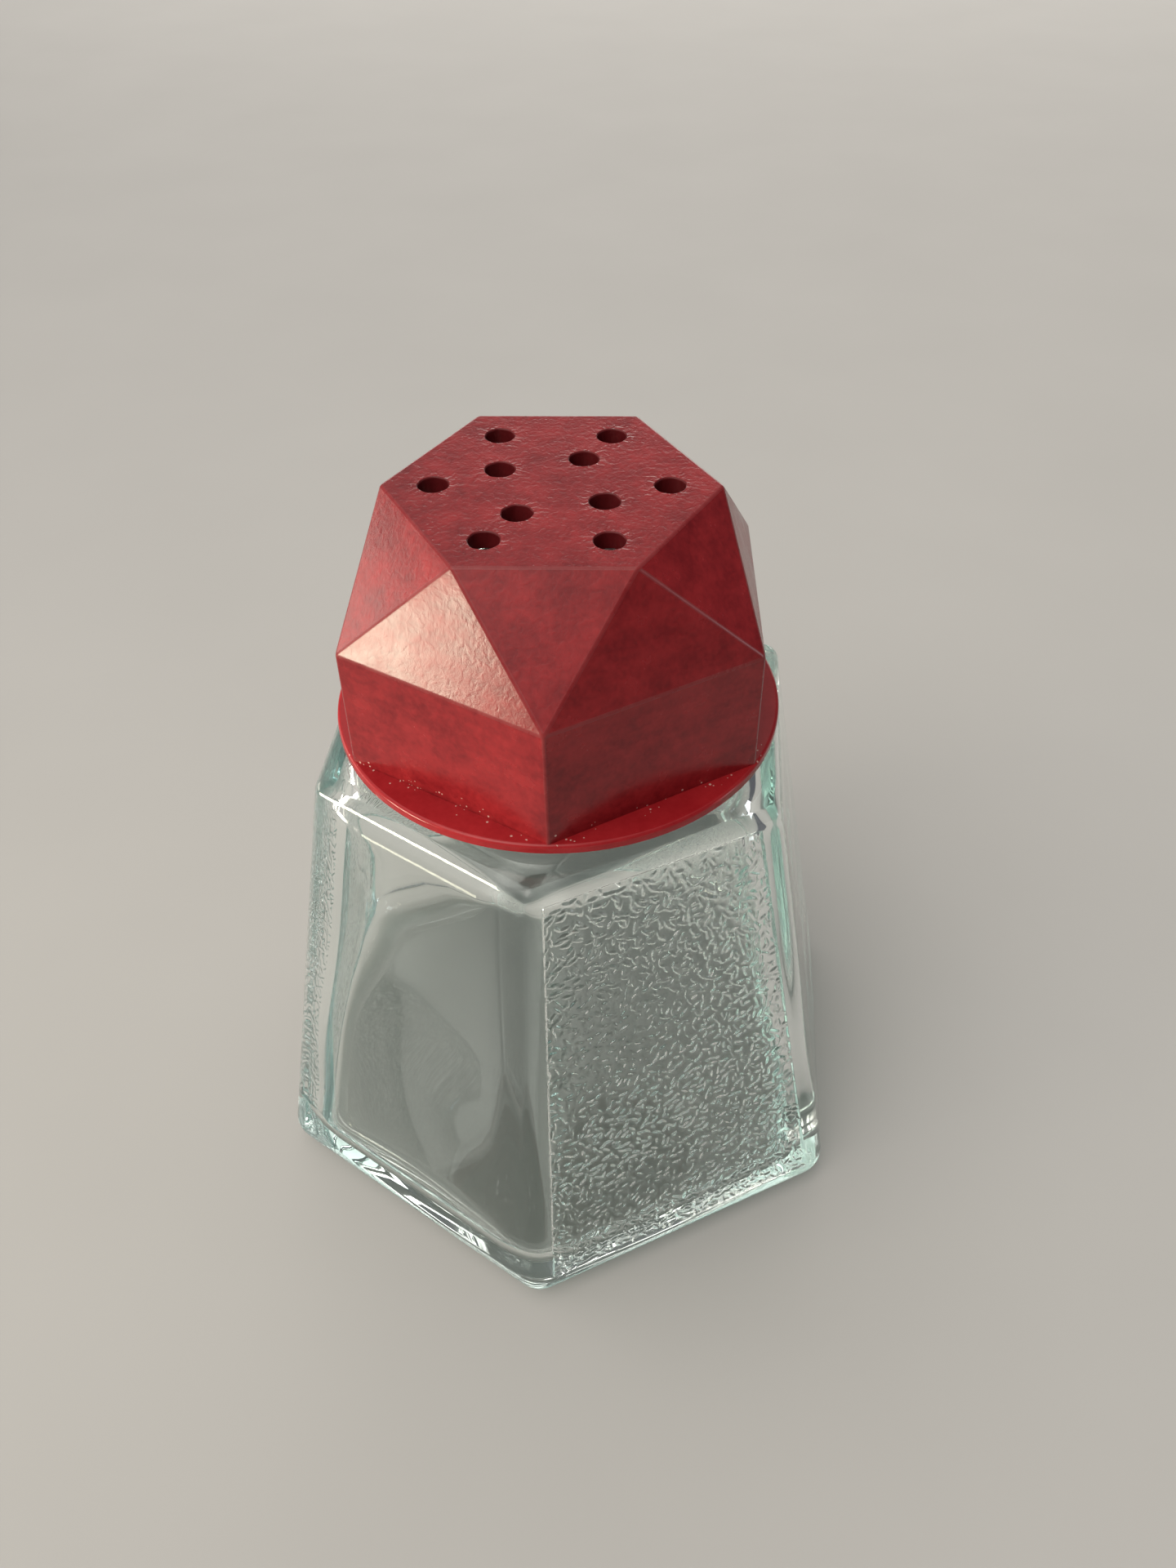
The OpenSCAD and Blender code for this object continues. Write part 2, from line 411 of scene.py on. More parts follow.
COARSE = ring_columns(False)
FINE = ring_columns(True)
ROUND_ANGLE = np.arctan2(*hexagon(COARSE, 1, SPREAD_ROUND).T[::-1])


def circle(radius):
    """A circle with the coarse columns. The radius may differ from column to column."""
    return unit(ROUND_ANGLE) * np.reshape(radius, (-1, 1))


print("a plain ring has", len(COARSE[0]), "points and a grained one", len(FINE[0]))

# %% [markdown]
# ## The rice grain on three panels
# Every other panel is a shallow sunk field covered with raised grains, about the shape of rice and 1.7 mm long,
# that lie in every direction. A bump map would only fake their shading, but glass shows its surface by bending
# what lies behind it, so the grains are real height on a fine grid: each is a low ellipsoid that comes back up
# to the face of the panel, and where two meet the higher one wins. Their places come from a seeded generator.

# %% Grain sizes
GRAIN_LOW_Z, GRAIN_HIGH_Z = 5.3, 72.8
GRAIN_ROW = 0.13
GRAIN_SPACING = 1.12
GRAIN_HALF_LENGTH = (0.72, 1.02)
GRAIN_HALF_WIDTH = (0.26, 0.33)
GRAIN_HEIGHT = (0.2, 0.27)
GRAIN_SINK = 0.27
GRAIN_SINK_RAMP = 0.4
GRAIN_MARGIN_LEFT = 0.3
GRAIN_MARGIN_RIGHT = (0.3, 1.7)
GRAIN_MARGIN_TOP = 1.0
GRAIN_SEED = 11
grain_rows = np.linspace(GRAIN_LOW_Z, GRAIN_HIGH_Z, round((GRAIN_HIGH_Z - GRAIN_LOW_Z) / GRAIN_ROW) + 1)
print("a grained panel has", len(grain_rows), "rows of", SIDE_STEPS * FINE_STEPS, "points")

# %% [markdown]
# Each panel is worked out flat, in millimetres across and up. The field's left border keeps a steady distance
# from the edge of the jar, and its right border leans in towards the shoulder, as the pressed one does.

# %% Grain relief


def press_grain(height, across, up, reach, grain):
    """Raises one grain on a panel. grain is its place across and up, its row, half sizes, height and turn."""
    u, v, row, long, wide, tall, turn = grain
    rows = int(long / (up[1] - up[0])) + 1
    low, high = max(row - rows, 0), row + rows + 1
    ends = [int(((u + s * long) / reach[row] + 1) / 2 * across.shape[1]) for s in (-1, 1)]
    left, right = max(ends[0] - 2, 0), ends[1] + 3
    du, dv = across[low:high, left:right] - u, (up[low:high] - v)[:, None]
    along = du * math.cos(turn) + dv * math.sin(turn)
    aside = dv * math.cos(turn) - du * math.sin(turn)
    dome = tall * np.clip(1 - (along / long) ** 2 - (aside / wide) ** 2, 0, None)
    patch = height[low:high, left:right]
    np.maximum(patch, dome, out=patch)


def grain_relief(seed):
    """Height of one panel over its plain face, as rows by columns: below zero in the sunk field."""
    draw = np.random.default_rng(seed)
    steps = SIDE_STEPS * FINE_STEPS
    reach = np.array([(flat_at(z) - edge_round_at(z)) * math.tan(TURN / 2) for z in grain_rows])
    up = (grain_rows - GRAIN_LOW_Z) / math.cos(LEAN)
    across = (2 * np.arange(steps) / steps - 1) * reach[:, None]
    left_end = GRAIN_MARGIN_LEFT - reach
    right_end = reach - np.interp(up, (0, up[-1]), GRAIN_MARGIN_RIGHT)
    height = np.zeros((len(grain_rows), steps))
    for i in range(int(up[-1] / GRAIN_SPACING)):
        for j in range(int(2 * reach.max() / GRAIN_SPACING)):
            v = (i + 0.5 + draw.uniform(-0.5, 0.5)) * GRAIN_SPACING
            u = (j + 0.5 + draw.uniform(-0.5, 0.5) + 0.5 * (i % 2)) * GRAIN_SPACING - reach.max()
            limits = (GRAIN_HALF_LENGTH, GRAIN_HALF_WIDTH, GRAIN_HEIGHT)
            sizes = [draw.uniform(*limit) for limit in limits]
            turn = draw.uniform(0, math.pi)
            row = min(int(v / (up[1] - up[0])), len(up) - 1)
            if not left_end[row] < u < right_end[row]:
                continue
            if v > up[-1] - GRAIN_MARGIN_TOP * draw.uniform(0.3, 1.0):
                continue
            press_grain(height, across, up, reach, (u, v, row, *sizes, turn))
    to_side = np.minimum(across - left_end[:, None], right_end[:, None] - across)
    to_level = np.minimum(up, up[-1] - up)[:, None]
    sunk = np.clip(np.minimum(to_side, to_level) / GRAIN_SINK_RAMP, 0, 1)
    return height * sunk - GRAIN_SINK * sunk * sunk * (3 - 2 * sunk)


relief = {k: grain_relief(GRAIN_SEED + k) for k in GRAINED_SIDES}
print("grain covers", round(100 * float(np.mean(relief[0] > 0.01 - GRAIN_SINK))), "percent of a panel")

# %% [markdown]
# ## The screw thread
# Under the lid the neck carries one rounded ridge that climbs as it goes round, and the lid has a matching
# ridge that runs just below it. Both follow the same helix as the joint does, so they never touch as the lid
# unscrews. A helix as a curve would have to be joined to the neck, so it is raised from the neck's own rings
# instead.

# %% Thread relief
THREAD_LEAD = 5
THREAD_FADE = 0.08  # of a turn
THREAD_ROUND = 0.8  # a power: the lower, the fuller the ridge
NECK_THREAD = {"start_z": 83.2, "first": 0.0, "turns": 1.1, "half": 1.15, "out": 1.2}
LID_THREAD = {"start_z": 83.2 - THREAD_LEAD / 2, "first": 0.28, "turns": 1.2, "half": 1.0, "out": 1.1}


def thread_relief(angle, z, start_z, first, turns, half, out):
    """How far a helical ridge stands out at each angle and height. It starts at the first share of a turn."""
    height = np.zeros(np.broadcast(angle, z).shape)
    for lap in range(-1, 4):
        wound = np.mod(angle, math.tau) / math.tau + lap
        offset = (z - start_z - THREAD_LEAD * wound) / half
        begin = np.clip((wound - first) / THREAD_FADE, 0, 1)
        end = np.clip((first + turns - wound) / THREAD_FADE, 0, 1)
        ridge = np.clip(1 - offset**2, 0, None) ** THREAD_ROUND
        height = np.maximum(height, out * ridge * (begin * end))
    return height


print("the thread climbs", THREAD_LEAD, "mm in each turn")

# %% [markdown]
# ## The outside of the jar
# Now the rings are stacked from the middle of the base upwards: the hollow push-up and the standing ring, the
# foot's edge, a place for the panels, the shoulder, and the neck with its fillet, bead, thread and lip.

# %% Outside rings
QUARTER = math.pi / 2
PUSHUP_START = 0.5
PUSHUP_STEPS, STANDING_STEPS, FOOT_STEPS = 14, 5, 12
SHOULDER_EDGE_STEPS, SHOULDER_STEPS, FILLET_STEPS, LIP_STEPS = 10, 6, 6, 7
NECK_ROW = 0.3


def rounded_rows(z_mid, round_r, depth, angles, edge_r):
    """Rings that roll round a level edge, a depth inside the flats, with upright edges of radius edge_r."""
    core = flat_at(z_mid) - (depth + round_r) / math.cos(LEAN)
    rows = []
    for a in angles:
        out = round_r * math.cos(a)
        rows.append((hexagon(COARSE, core + out, edge_r - round_r + out), z_mid + round_r * math.sin(a)))
    return rows


def morph_rows(first, last, z, count):
    """Rings in one plane that change from one outline to another, without the two outlines."""
    return [(first + (last - first) * s, z) for s in np.linspace(0, 1, count)[1:-1]]


def rolled(r, z, radius, angles):
    """Radius and height along a round edge that reaches r and z. A hollow has a negative radius."""
    return [(r - radius * (1 - math.cos(a)), z - radius * (1 - math.sin(a))) for a in angles]


def base_rows():
    """Rings from the middle of the base to the top of the foot's edge."""
    sphere_r = (PUSHUP_R**2 + PUSHUP_DEPTH**2) / (2 * PUSHUP_DEPTH)
    foot_z = FOOT_ROUND - TRIM
    trimmed = -math.asin(foot_z / FOOT_ROUND)
    foot = rounded_rows(foot_z, FOOT_ROUND, 0, np.linspace(trimmed, LEAN, FOOT_STEPS), FOOT_ROUND)
    rows = []
    for r in np.linspace(PUSHUP_START, PUSHUP_R, PUSHUP_STEPS):
        rows.append((circle(r), PUSHUP_DEPTH - sphere_r + math.sqrt(sphere_r**2 - r * r)))
    return rows + morph_rows(circle(PUSHUP_R), foot[0][0], 0.0, STANDING_STEPS) + foot


def shoulder_rows():
    """Rings from the shoulder's edge to the fillet at the neck."""
    top_z = SHOULDER_Z - SHOULDER_ROUND + TRIM
    trimmed = math.asin((SHOULDER_Z - top_z) / SHOULDER_ROUND)
    angles = np.linspace(LEAN, trimmed, SHOULDER_EDGE_STEPS)
    rows = rounded_rows(top_z, SHOULDER_ROUND, 0, angles, SHOULDER_ROUND)
    rows += morph_rows(rows[-1][0], circle(NECK_R + NECK_FILLET), SHOULDER_Z, SHOULDER_STEPS)
    fillet = rolled(NECK_R, SHOULDER_Z, -NECK_FILLET, np.linspace(QUARTER, 0, FILLET_STEPS))
    return rows + [(circle(r), z) for r, z in fillet]


def neck_rows():
    """Rings from above the fillet to the top of the lip."""
    bead_z = SHOULDER_Z + BEAD_RISE
    rows = []
    for z in np.arange(SHOULDER_Z + NECK_FILLET + NECK_ROW, LIP_Z - LIP_ROUND, NECK_ROW):
        bead = math.sqrt(max(0.0, BEAD_OUT**2 - (z - bead_z) ** 2))
        rows.append((circle(NECK_R + np.maximum(bead, thread_relief(ROUND_ANGLE, z, **NECK_THREAD))), z))
    lip = rolled(NECK_R, LIP_Z, LIP_ROUND, np.linspace(0, QUARTER, LIP_STEPS))
    return rows + [(circle(r), z) for r, z in lip]


below_panels, above_panels = base_rows(), shoulder_rows() + neck_rows()
print("the outside has", len(below_panels), "rings below its panels and", len(above_panels), "above them")

# %% [markdown]
# ## The inside of the jar
# The inside follows the panels at an even wall, but its corners are far rounder, because hot glass doesn't fill
# corners. It is never quite even either, so the wall gets a slow wave that grows towards the foot. That is what
# bends reflections into long curves. Near the shoulder it dies out, where it would tangle with the round
# corners.

# %% Inside rings
INNER_WAVE = 0.012
# Each wave has a share, a number of times round, a rise in mm per radian, and a start.
WAVES = ((1.0, 3, 9, 0.0), (0.6, 5, -6, 1.3), (0.5, 2, 14, 0.4))
WAVE_FADE_LOW, WAVE_FADE_TOP = 12, 55
MOUTH_EDGE_STEPS, MOUTH_STEPS, FLARE_STEPS = 6, 8, 7
MOUTH_TOP_GAP, MOUTH_LOW_GAP = 1.5, 0.5
CAVITY_TOP_STEPS, CAVITY_WALL_STEPS, CAVITY_LOW_STEPS = 12, 44, 20
FLOOR_ANGLE = 0.05 - QUARTER
FLOOR_SHARES = (0.9, 0.7, 0.45, 0.2, 0.02)


def wavy(xy, z):
    """The uneven inside of pressed glass: a slow wave of about a millimetre at most."""
    angle = np.arctan2(xy[:, 1], xy[:, 0])
    fade = np.clip((CAVITY_TOP_Z - z) / WAVE_FADE_TOP, 0, 1) * np.clip((z - BASE_T) / WAVE_FADE_LOW, 0, 1)
    wave = sum(share * np.sin(times * angle + z / rise + start) for share, times, rise, start in WAVES)
    return xy * (1 + INNER_WAVE * fade * wave)[:, None], z


def inside_rows():
    """Rings from the lip's inner edge down to the middle of the cavity's floor."""
    rows = []
    for a in np.linspace(0, QUARTER, MOUTH_EDGE_STEPS):
        rows.append((circle(MOUTH_R + LIP_BEVEL * (1 - math.sin(a))), LIP_Z - LIP_BEVEL * (1 - math.cos(a))))
    top_z, low_z = CAVITY_TOP_Z - CAVITY_TOP_ROUND, BASE_T + CAVITY_ROUND
    core = flat_at(top_z) - (WALL + CAVITY_TOP_ROUND) / math.cos(LEAN)
    meet = math.acos(max(0.0, MOUTH_R + MOUTH_FLARE - core) / CAVITY_TOP_ROUND)
    flare_z = top_z + CAVITY_TOP_ROUND * math.sin(meet)
    straight = np.linspace(LIP_Z - MOUTH_TOP_GAP, flare_z + MOUTH_FLARE + MOUTH_LOW_GAP, MOUTH_STEPS)
    rows += [(circle(MOUTH_R), z) for z in straight]
    flare = rolled(MOUTH_R, flare_z, -MOUTH_FLARE, np.linspace(0, QUARTER, FLARE_STEPS))
    rows += [(circle(r), z) for r, z in flare]
    top_angles = np.linspace(meet, LEAN, CAVITY_TOP_STEPS)
    low_angles = np.linspace(LEAN, FLOOR_ANGLE, CAVITY_LOW_STEPS)
    top = rounded_rows(top_z, CAVITY_TOP_ROUND, WALL, top_angles, CAVITY_EDGE_ROUND)
    low = rounded_rows(low_z, CAVITY_ROUND, WALL, low_angles, CAVITY_EDGE_ROUND)
    (top_xy, top_end), (low_xy, low_end) = top[-1], low[0]
    rows += top
    for s in np.linspace(0, 1, CAVITY_WALL_STEPS)[1:-1]:
        rows.append((top_xy + (low_xy - top_xy) * s, top_end + (low_end - top_end) * s))
    rows += low + [(low[-1][0] * s, BASE_T) for s in FLOOR_SHARES]
    return [wavy(xy, z) for xy, z in rows]


cavity = inside_rows()
print("the inside has", len(cavity), "rings")

# %% [markdown]
# ## The grained panels
# The rings between foot and shoulder have the fine columns. Each point of a grained panel moves along that
# panel's own normal by the relief that was worked out above.

# %% Panel rings


def panel_rows():
    """Rings with the fine columns, pushed out by the grain along each panel's own normal."""
    starts = {k: int(np.flatnonzero((FINE[0] == k) & (FINE[1] == 1))[0]) for k in GRAINED_SIDES}
    rows = []
    for i, z in enumerate(grain_rows):
        points = at_height(hexagon(FINE, flat_at(z), edge_round_at(z)), z)
        for k, first in starts.items():
            out = np.append(unit(EDGE_ANGLE + (k + 0.5) * TURN) * math.cos(LEAN), math.sin(LEAN))
            grain = relief[k][i]
            points[first : first + len(grain)] += grain[:, None] * out
        rows.append(points)
    return rows


panels = panel_rows()
print("the panels have", len(panels), "rings")

# %% [markdown]
# ## Joining the rings
# Rings with equal columns are joined by quads. Where a plain ring meets a grained one, each wide step of the
# plain ring gets one face with many corners on the fine side. Both ends are closed, so that the renderer knows
# what is inside the glass, which it needs for bending light and for the green of the body.

# %% Jar mesh


def join_rings(low, high, count):
    """Quads between two rings with equal columns, given the numbers of their first points."""
    j = np.arange(count)
    after = (j + 1) % count
    return np.stack((low + j, low + after, high + after, high + j), -1).tolist()


def join_fine(plain, fine, fine_above):
    """Faces between a plain ring and a ring with the fine columns."""
    faces, f, plain_count, fine_count = [], 0, len(COARSE[0]), len(FINE[0])
    for c in range(plain_count):
        steps = FINE_STEPS if COARSE[1][c] and COARSE[0][c] in GRAINED_SIDES else 1
        left, right = plain + c, plain + (c + 1) % plain_count
        run = [fine + (f + s) % fine_count for s in range(steps + 1)]
        f += steps
        faces.append([left, right, *reversed(run)] if fine_above else [*run, right, left])
    return faces


def build_jar():
    """The glass as one closed skin."""
    below, above = ([at_height(xy, z) for xy, z in rows] for rows in (below_panels, above_panels + cavity))
    rings = below + panels + above
    starts = np.cumsum([0] + [len(ring) for ring in rings]).tolist()
    faces = []
    for i in range(len(rings) - 1):
        here, after = len(rings[i]), len(rings[i + 1])
        if here == after:
            faces += join_rings(starts[i], starts[i + 1], here)
        elif here < after:
            faces += join_fine(starts[i], starts[i + 1], True)
        else:
            faces += join_fine(starts[i + 1], starts[i], False)
    faces.append(list(range(len(rings[0])))[::-1])
    faces.append(list(range(starts[-2], starts[-1])))
    skin = np.concatenate(rings)
    # The round corners are drawn with few points, so the skin is fitted to the box of the solid.
    skin[:, :2] *= min(jar_high.x / skin[:, 0].max(), jar_high.y / skin[:, 1].max())
    jar = link_mesh("jar_glass", skin * MM, faces, clear_glass)
    jar.data.shade_smooth()
    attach(jar, "jar")
    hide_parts("glass_jar")
    return jar


jar = build_jar()
print("the jar has", len(jar.data.polygons), "faces")

# %% [markdown]
# ## The lid's sizes
# The lid's outside is an antiprism: a small hexagon on top, a larger one turned by half a side below it, and
# twelve triangles between them. Its heights come from the frame. The finishes below need some of these sizes as
# well, because wrinkles sit round the holes and dust sits in the crease above the flange.

# %% Lid sizes
TOP_R = 20.7
BORE_R = 24.0
LID_WALL = 1.8
RING_R = (BORE_R + LID_WALL) / math.cos(TURN / 2)
SKIRT_DRAFT = 0.11
SKIRT_R = RING_R + SKIRT_DRAFT
FLANGE_R = 30.1
FLANGE_Z = lid_low.z
FLANGE_T = 1.4
FLANGE_ROUND = 0.5
FLANGE_CHAMFER = 0.15
TOP_Z = lid_high.z
CROWN_H = 14.5
ROOF_T = 2.2
RING_Z = TOP_Z - CROWN_H
SKIRT_Z = FLANGE_Z + FLANGE_T
ROOF_Z = TOP_Z - ROOF_T
SEAT_Z = seal_high.z
SEAT_INSET = 0.6
DOME_R = MOUTH_R + SEAT_INSET
DOME_ROUND = 4
HOLE_R = 1.85
HOLE_RIM = 0.22
HOLE_RINGS = ((6, 14.3, 0.0), (4, 7.5, math.radians(60)))
LID_YAW = math.radians(3.7)

print("the lid's top face is", round(2 * TOP_R, 1), "mm across its corners, at", round(TOP_Z, 1), "mm")

# %% [markdown]
# ## Wrinkles round the holes
# The moulding powder flowed round the pins that leave the holes, and set in fine creases that fan out from
# them. They are too small for the mesh, so they are a pattern for a bump. Each ring of holes is folded like a
# paper star on to its first hole, so one fan of creases serves all of them, and noise keeps the fans from
# looking alike.

# %% Hole wrinkles
WRINKLES_PER_HOLE = 13
WRINKLE_REACH = 4.2
WRINKLE_STRAY_MM = 1.1
WRINKLE_STRAY = 14.0  # in radians of a wrinkle's wave


def fade_out(tree, x, y, full, none):
    """A mask that is one where x and y are within full mm of zero, and falls to nothing at none mm."""
    offset = add_node(tree, "CombineXYZ", {"X": x, "Y": y})
    away = add_node(tree, "VectorMath", {0: offset}, operation="LENGTH")
    return add_node(tree, "MapRange", {
        "Value": away.outputs["Value"], "From Min": full * MM, "From Max": none * MM,
        "To Min": 1.0, "To Max": 0.0,
    })


def hole_wrinkles(tree, place):
    """Short creases that fan out from the holes, from -1 to 1."""
    flat = add_node(tree, "SeparateXYZ", {0: place})
    angle = add_node(tree, "Math", {0: flat.outputs["Y"], 1: flat.outputs["X"]}, operation="ARCTAN2")
    level = add_node(tree, "CombineXYZ", {"X": flat.outputs["X"], "Y": flat.outputs["Y"]})
    radius = add_node(tree, "VectorMath", {0: level}, operation="LENGTH").outputs["Value"]
    stray = add_node(tree, "TexNoise", {"Vector": place, "Scale": per_metre(WRINKLE_STRAY_MM), "Detail": 2.0})
    warp = add_node(tree, "Math", {0: stray, 1: WRINKLE_STRAY}, operation="MULTIPLY")
    total = 0.0
    for count, ring_r, first in HOLE_RINGS:
        step = math.tau / count
        shift = step / 2 - first - LID_YAW + math.tau
        shifted = add_node(tree, "Math", {0: angle, 1: shift}, operation="ADD")
        folded = add_node(tree, "Math", {0: shifted, 1: step}, operation="FLOORED_MODULO")
        near = add_node(tree, "Math", {0: folded, 1: step / 2}, operation="SUBTRACT")
        cos = add_node(tree, "Math", {0: near}, operation="COSINE")
        sin = add_node(tree, "Math", {0: near}, operation="SINE")
        x = add_node(tree, "Math", {0: radius, 1: cos, 2: -ring_r * MM}, operation="MULTIPLY_ADD")
        y = add_node(tree, "Math", {0: radius, 1: sin}, operation="MULTIPLY")
        spoke = add_node(tree, "Math", {0: y, 1: x}, operation="ARCTAN2")
        fan = add_node(tree, "Math", {0: spoke, 1: WRINKLES_PER_HOLE, 2: warp}, operation="MULTIPLY_ADD")
        crease = add_node(tree, "Math", {0: fan}, operation="SINE")
        fade = fade_out(tree, x, y, HOLE_R, WRINKLE_REACH)
        total = add_node(tree, "Math", {0: crease, 1: fade, 2: total}, operation="MULTIPLY_ADD")
    return total


print("each hole has", WRINKLES_PER_HOLE, "wrinkles, which end", WRINKLE_REACH, "mm from its middle")

# %% [markdown]
# ## Dust in the crease
# Fine pale dust gathers where the skirt meets the flange, in patches. It could be scattered as tiny meshes, but
# it lies flat and never moves, so it is a mask in the material: the cells of a Voronoi pattern hold one speck
# each, and the nearer a cell is to the crease the likelier its speck is drawn.

# %% Crease dust
DUST_SPACING = 0.55  # real dust is finer: it is drawn as coarse as it needs to show
DUST_SPECK = (0.1, 0.2)  # the smallest, and what the largest adds, in shares of the spacing
DUST_PATCH = 2.5
DUST_REACH = 1.7


def crease_dust(tree, place):
    """A mask of fine pale specks that gather where the skirt meets the flange."""
    across = 0.0
    for k in range(SIDES // 2):
        out = unit(np.array(EDGE_ANGLE + LID_YAW + (k + 0.5) * TURN))
        side = add_node(tree, "VectorMath", {0: place, 1: (*out, 0.0)}, operation="DOT_PRODUCT")
        reach = add_node(tree, "Math", {0: side.outputs["Value"]}, operation="ABSOLUTE")
        across = add_node(tree, "Math", {0: reach, 1: across}, operation="MAXIMUM")
    beside = add_node(tree, "Math", {0: across, 1: (BORE_R + LID_WALL) * MM}, operation="SUBTRACT")
    height = add_node(tree, "SeparateXYZ", {0: place})
    above = add_node(tree, "Math", {0: height.outputs["Z"], 1: SKIRT_Z * MM}, operation="SUBTRACT")
    near = fade_out(tree, beside, above, 0.0, DUST_REACH)
    drift = add_node(tree, "TexNoise", {"Vector": place, "Scale": per_metre(DUST_PATCH), "Detail": 1.0})
    patch = add_node(tree, "MapRange", {"Value": drift, "From Min": 0.42, "From Max": 0.62})
    chance = add_node(tree, "Math", {0: near, 1: patch}, operation="MULTIPLY")
    cells = add_node(tree, "TexVoronoi", {"Vector": place, "Scale": per_metre(DUST_SPACING)})
    lot = add_node(tree, "SeparateColor", {0: cells.outputs["Color"]})
    drawn = add_node(tree, "Math", {0: chance, 1: lot.outputs["Red"]}, operation="GREATER_THAN")
    smallest, spread = DUST_SPECK
    size = add_node(tree, "Math", {0: lot.outputs["Green"], 1: spread, 2: smallest}, operation="MULTIPLY_ADD")
    speck = add_node(tree, "Math", {0: size, 1: cells.outputs["Distance"]}, operation="GREATER_THAN")
    return add_node(tree, "Math", {0: drawn, 1: speck}, operation="MULTIPLY")


print("dust lies within", DUST_REACH, "mm of the crease")

# %% [markdown]
# ## Red thermoset
# The lid is moulded from a filled thermoset, such as urea or melamine: hard, dense and dark red, with a satin
# skin. The powder flowed before it cured, which leaves clouds and level streaks in its colour and a fine
# leathery peel. So the colour is mixed from two reds by three noises: round clouds, streaks that are squeezed
# flat, and leather.

# %% Mottled red
CLOUD_MM = 5
LEATHER_MM = 0.75  # a fine peel, drawn as coarse as it needs to show
STREAK_MM = 2.2
STREAK_SQUEEZE = (0.14, 0.14, 1.0)


def red_mottle(tree, place, dark, light):
    """The colour between two reds, with the cloud and leather patterns that it is mixed from."""
    cloud = add_node(tree, "TexNoise", {
        "Vector": place, "Scale": per_metre(CLOUD_MM), "Detail": 4.0, "Roughness": 0.6,
    })
    leather = add_node(tree, "TexNoise", {
        "Vector": place, "Scale": per_metre(LEATHER_MM), "Detail": 2.0, "Distortion": 0.5,
    })
    level = add_node(tree, "Mapping", {"Vector": place, "Scale": STREAK_SQUEEZE})
    streak = add_node(tree, "TexNoise", {"Vector": level, "Scale": per_metre(STREAK_MM), "Detail": 3.0})
    blend = add_node(tree, "Math", {0: streak, 1: 0.5, 2: cloud}, operation="MULTIPLY_ADD")
    blend = add_node(tree, "Math", {0: leather, 1: 0.5, 2: blend}, operation="MULTIPLY_ADD")
    shade = add_node(tree, "MapRange", {"Value": blend, "From Min": 0.75, "From Max": 1.25})
    tint = add_node(tree, "Mix", {"Factor": shade, MIX_A: linear(dark), MIX_B: linear(light)}, data_type="RGBA")
    return tint.outputs[MIX_RESULT], cloud, leather


print("the clouds are about", CLOUD_MM, "mm wide and the leather", LEATHER_MM, "mm")

# %% [markdown]
# Facets, rubbed edges, flange and inside are one material with other numbers, so one function makes them all.
# Edges are rubbed paler, the flange is the smoothest part, with its reds painted brighter as light falling on it,
# and the inside is dull, with its reds painted darker as shade. The level face on top is rougher than the facets
# beside it, with a deeper leather and the wrinkles.

# %% Thermoset finishes
ROUGHNESS_SPAN = 0.05
THERMOSET_IOR = 1.5
THERMOSET_SHINE = 0.3
DUST_COLOUR = "#CDA79E"


def thermoset(name, dark, light, roughness, peel, top=None, dust=None):
    """Moulded urea thermoset, mottled between two reds. Peel is a depth in mm.

    top is what the level face on top adds: roughness, and the depths in mm of its leather and its wrinkles.
    """
    material, tree = new_material(name)
    place = add_node(tree, "TexCoord").outputs["Object"]
    tint, cloud, leather = red_mottle(tree, place, dark, light)
    if dust:
        mask = crease_dust(tree, place)
        tint = add_node(tree, "Mix", {
            "Factor": mask, MIX_A: tint, MIX_B: linear(dust),
        }, data_type="RGBA").outputs[MIX_RESULT]
    rough = add_node(tree, "MapRange", {
        "Value": cloud, "From Min": 0.3, "From Max": 0.7,
        "To Min": roughness - ROUGHNESS_SPAN, "To Max": roughness + ROUGHNESS_SPAN,
    })
    height = add_node(tree, "Math", {0: leather, 1: peel}, operation="MULTIPLY")
    if top:
        top_rough, top_leather, top_wrinkle = top
        facing = add_node(tree, "NewGeometry").outputs["Normal"]
        upward = add_node(tree, "SeparateXYZ", {0: facing}).outputs["Z"]
        on_top = add_node(tree, "MapRange", {"Value": upward, "From Min": 0.8, "From Max": 0.95})
        rough = add_node(tree, "Math", {0: on_top, 1: top_rough, 2: rough}, operation="MULTIPLY_ADD")
        folds = add_node(tree, "Math", {0: hole_wrinkles(tree, place), 1: top_wrinkle}, operation="MULTIPLY")
        folds = add_node(tree, "Math", {0: leather, 1: top_leather, 2: folds}, operation="MULTIPLY_ADD")
        height = add_node(tree, "Math", {0: folds, 1: on_top, 2: height}, operation="MULTIPLY_ADD")
    bump = add_node(tree, "Bump", {"Height": height, "Strength": 1.0, "Distance": MM})
    skin = add_node(tree, "BsdfPrincipled", {
        "Base Color": tint, "Roughness": rough, "IOR": THERMOSET_IOR,
        "Specular IOR Level": THERMOSET_SHINE, "Normal": bump,
    })
    add_node(tree, "OutputMaterial", {"Surface": skin})
    return material


facet_red = thermoset("urea_thermoset_facets", "#74141A", "#9A2428", 0.24, 0.02,
                      top=(0.12, 0.085, 0.03), dust=DUST_COLOUR)
edge_red = thermoset("urea_thermoset_rubbed_edges", "#7E2024", "#8E3436", 0.28, 0.01)
# The flange's reds are painted brighter than the facets' reds, as light falling on it: it is the same plastic.
flange_red_painted_lit = thermoset("urea_thermoset_flange_painted_lit", "#961C22", "#A8262B", 0.18, 0.008, dust=DUST_COLOUR)
# The inside's reds are painted darker than the facets' reds, as shade inside the lid and in its holes.
inside_red_painted_shade = thermoset("urea_thermoset_inside_painted_shade", "#5E1519", "#701B1F", 0.45, 0.02)
print("made", [m.name for m in bpy.data.materials if "thermoset" in m.name])

